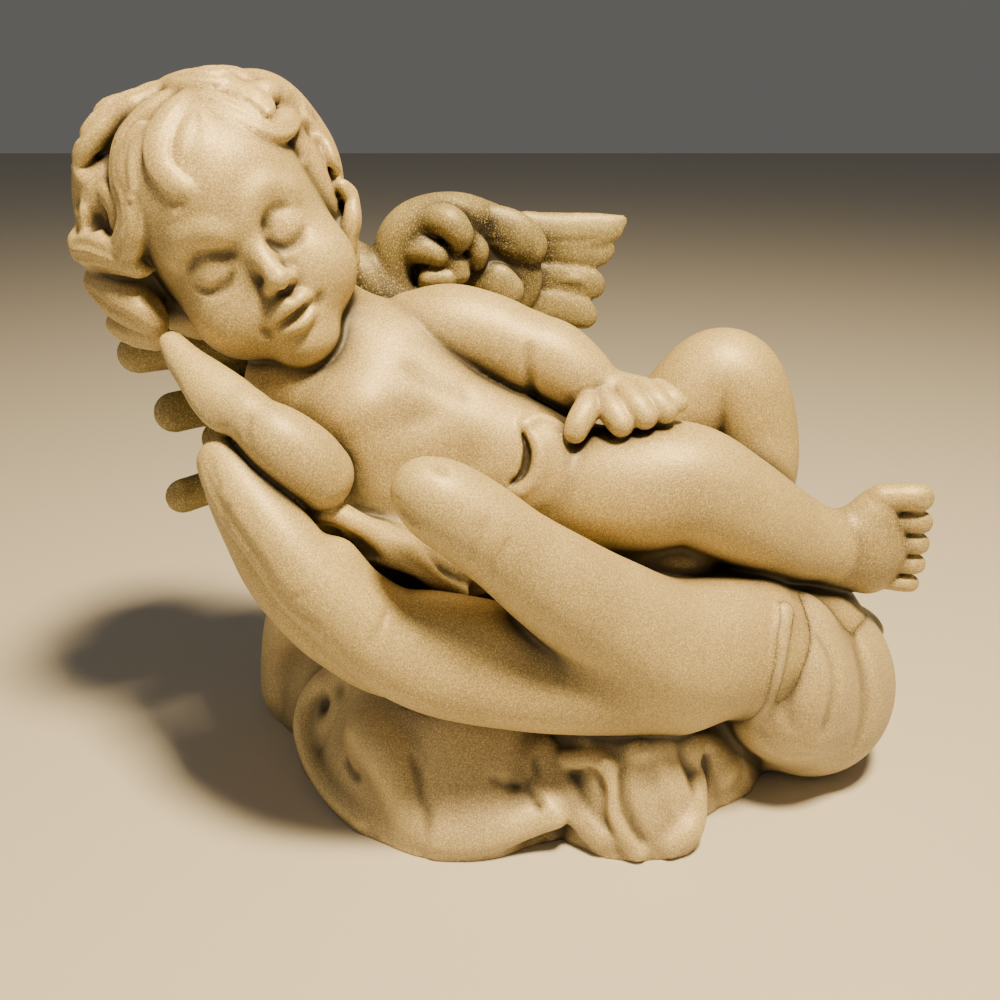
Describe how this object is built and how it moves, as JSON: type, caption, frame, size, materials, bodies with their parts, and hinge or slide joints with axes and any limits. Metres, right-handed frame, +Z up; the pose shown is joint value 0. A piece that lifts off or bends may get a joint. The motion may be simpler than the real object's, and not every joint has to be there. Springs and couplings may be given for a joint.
{
  "type": "cherub figurine",
  "caption": "Winged child asleep in an open hand on a spread of draped cloth, cast in one piece as a tabletop figurine.",
  "frame": {"origin": "middle of the bounding box on the underside of the cloth, where the figurine stands", "axes": "+X to the viewer's right, from the child's head to the feet; +Z up; the face and the front of the hand face -Y"},
  "size_m": [0.199, 0.1, 0.1732],
  "materials": {
    "resin": "cast resin with a warm beige, faintly pearly face and a brown wash in the recesses"
  },
  "bodies": {
    "root": {"cherub_figurine": "resin"}
  },
  "joints": []
}
